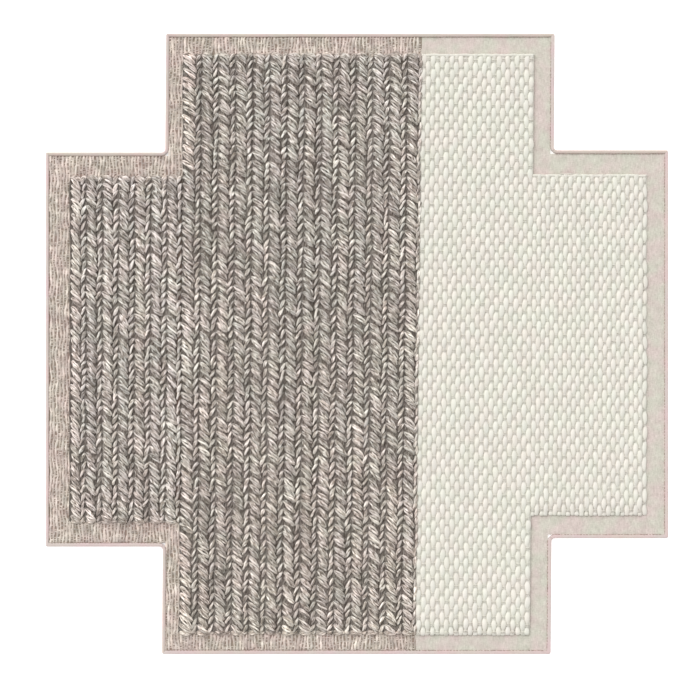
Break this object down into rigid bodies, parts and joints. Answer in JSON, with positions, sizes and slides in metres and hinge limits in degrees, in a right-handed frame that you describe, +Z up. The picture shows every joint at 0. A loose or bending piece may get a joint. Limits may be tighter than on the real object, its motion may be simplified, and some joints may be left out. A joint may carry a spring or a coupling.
{
  "type": "area rug",
  "caption": "Floor rug with a stepped cross outline: chunky grey wool braids beside a cream field of thick woven cords, on a ground cloth bound with narrow tape.",
  "frame": {"origin": "on the floor, in the middle of the rug's bounding box", "axes": "+Z up from the floor, +Y along the braids towards the upper arm, +X from the grey braided side towards the cream side"},
  "size_m": [1.704, 1.698, 0.0218],
  "materials": {
    "ribbed_ground": "coarse ribbed oatmeal weave, matt",
    "smooth_ground": "fine flat cream weave, matt",
    "binding_tape": "pinkish cotton tape with a brown stitch line",
    "grey_braid": "felted melange wool in grey and taupe, matt and fuzzy",
    "cream_cord": "thick cream wool, matt and soft"
  },
  "bodies": {
    "root": {"ground_panel_ribbed": "ribbed_ground", "ground_panel_smooth": "smooth_ground", "binding_lower_arm_end": "binding_tape", "binding_lower_arm_right": "binding_tape", "binding_right_notch_lower": "binding_tape", "binding_right_side": "binding_tape", "binding_right_notch_upper": "binding_tape", "binding_upper_arm_right": "binding_tape", "binding_upper_arm_end": "binding_tape", "binding_upper_arm_left": "binding_tape", "binding_left_notch_upper": "binding_tape", "binding_left_side": "binding_tape", "binding_left_notch_lower": "binding_tape", "binding_lower_arm_left": "binding_tape", "braid_00": "grey_braid", "braid_01": "grey_braid", "braid_02": "grey_braid", "braid_03": "grey_braid", "braid_04": "grey_braid", "braid_05": "grey_braid", "braid_06": "grey_braid", "braid_07": "grey_braid", "braid_08": "grey_braid", "braid_09": "grey_braid", "braid_10": "grey_braid", "braid_11": "grey_braid", "braid_12": "grey_braid", "braid_13": "grey_braid", "braid_14": "grey_braid", "braid_15": "grey_braid", "braid_16": "grey_braid", "braid_17": "grey_braid", "braid_18": "grey_braid", "braid_19": "grey_braid", "braid_20": "grey_braid", "braid_21": "grey_braid", "arm_cords_01": "cream_cord", "arm_cords_02": "cream_cord", "arm_cords_03": "cream_cord", "arm_cords_04": "cream_cord", "arm_cords_05": "cream_cord", "arm_cords_06": "cream_cord", "arm_cords_07": "cream_cord", "arm_cords_08": "cream_cord", "shoulder_cords_01": "cream_cord", "shoulder_cords_02": "cream_cord", "shoulder_cords_03": "cream_cord", "shoulder_cords_04": "cream_cord", "shoulder_cords_05": "cream_cord", "shoulder_cords_06": "cream_cord", "shoulder_cords_07": "cream_cord", "shoulder_cords_08": "cream_cord", "shoulder_cords_09": "cream_cord", "shoulder_cords_10": "cream_cord", "shoulder_cords_11": "cream_cord", "shoulder_cords_12": "cream_cord", "shoulder_cords_13": "cream_cord"}
  },
  "joints": []
}
